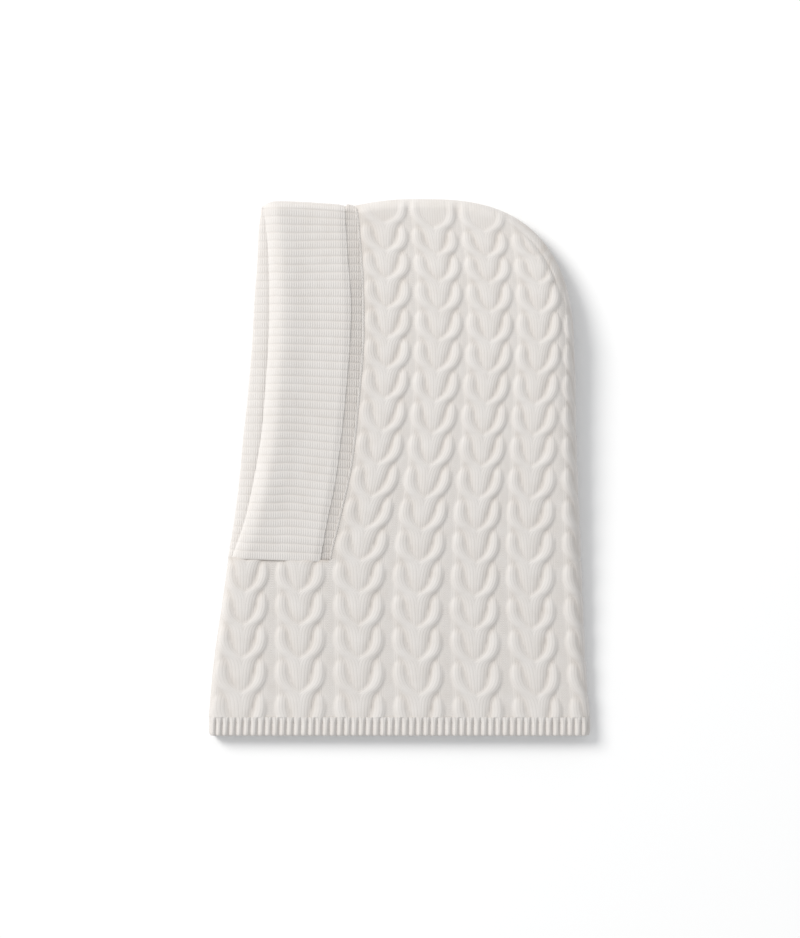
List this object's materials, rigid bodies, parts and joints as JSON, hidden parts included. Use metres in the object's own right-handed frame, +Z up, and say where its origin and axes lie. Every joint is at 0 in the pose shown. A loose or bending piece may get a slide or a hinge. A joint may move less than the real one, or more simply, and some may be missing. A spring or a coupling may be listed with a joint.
{
  "type": "knit hood",
  "caption": "Pull-on cable-knit hood lying flat: a tubular neck and a curved-crown head in one piece, a doubled ribbed band round the face opening and a ribbed hem.",
  "frame": {"origin": "centre of the bounding box's base, on the surface the hood lies on", "axes": "+X from the face opening to the back of the head, +Y from the hem to the crown, +Z up off the surface the hood lies on"},
  "size_m": [0.29, 0.403, 0.0284],
  "materials": {
    "cable_knit": "soft ivory wool cable knit, matte with a light fuzz",
    "band_rib": "soft ivory wool rib knit, matte",
    "hem_rib": "soft ivory wool rib knit, matte"
  },
  "bodies": {
    "root": {"hood_body": "cable_knit", "face_band": "band_rib", "hem_rib": "hem_rib"}
  },
  "joints": []
}
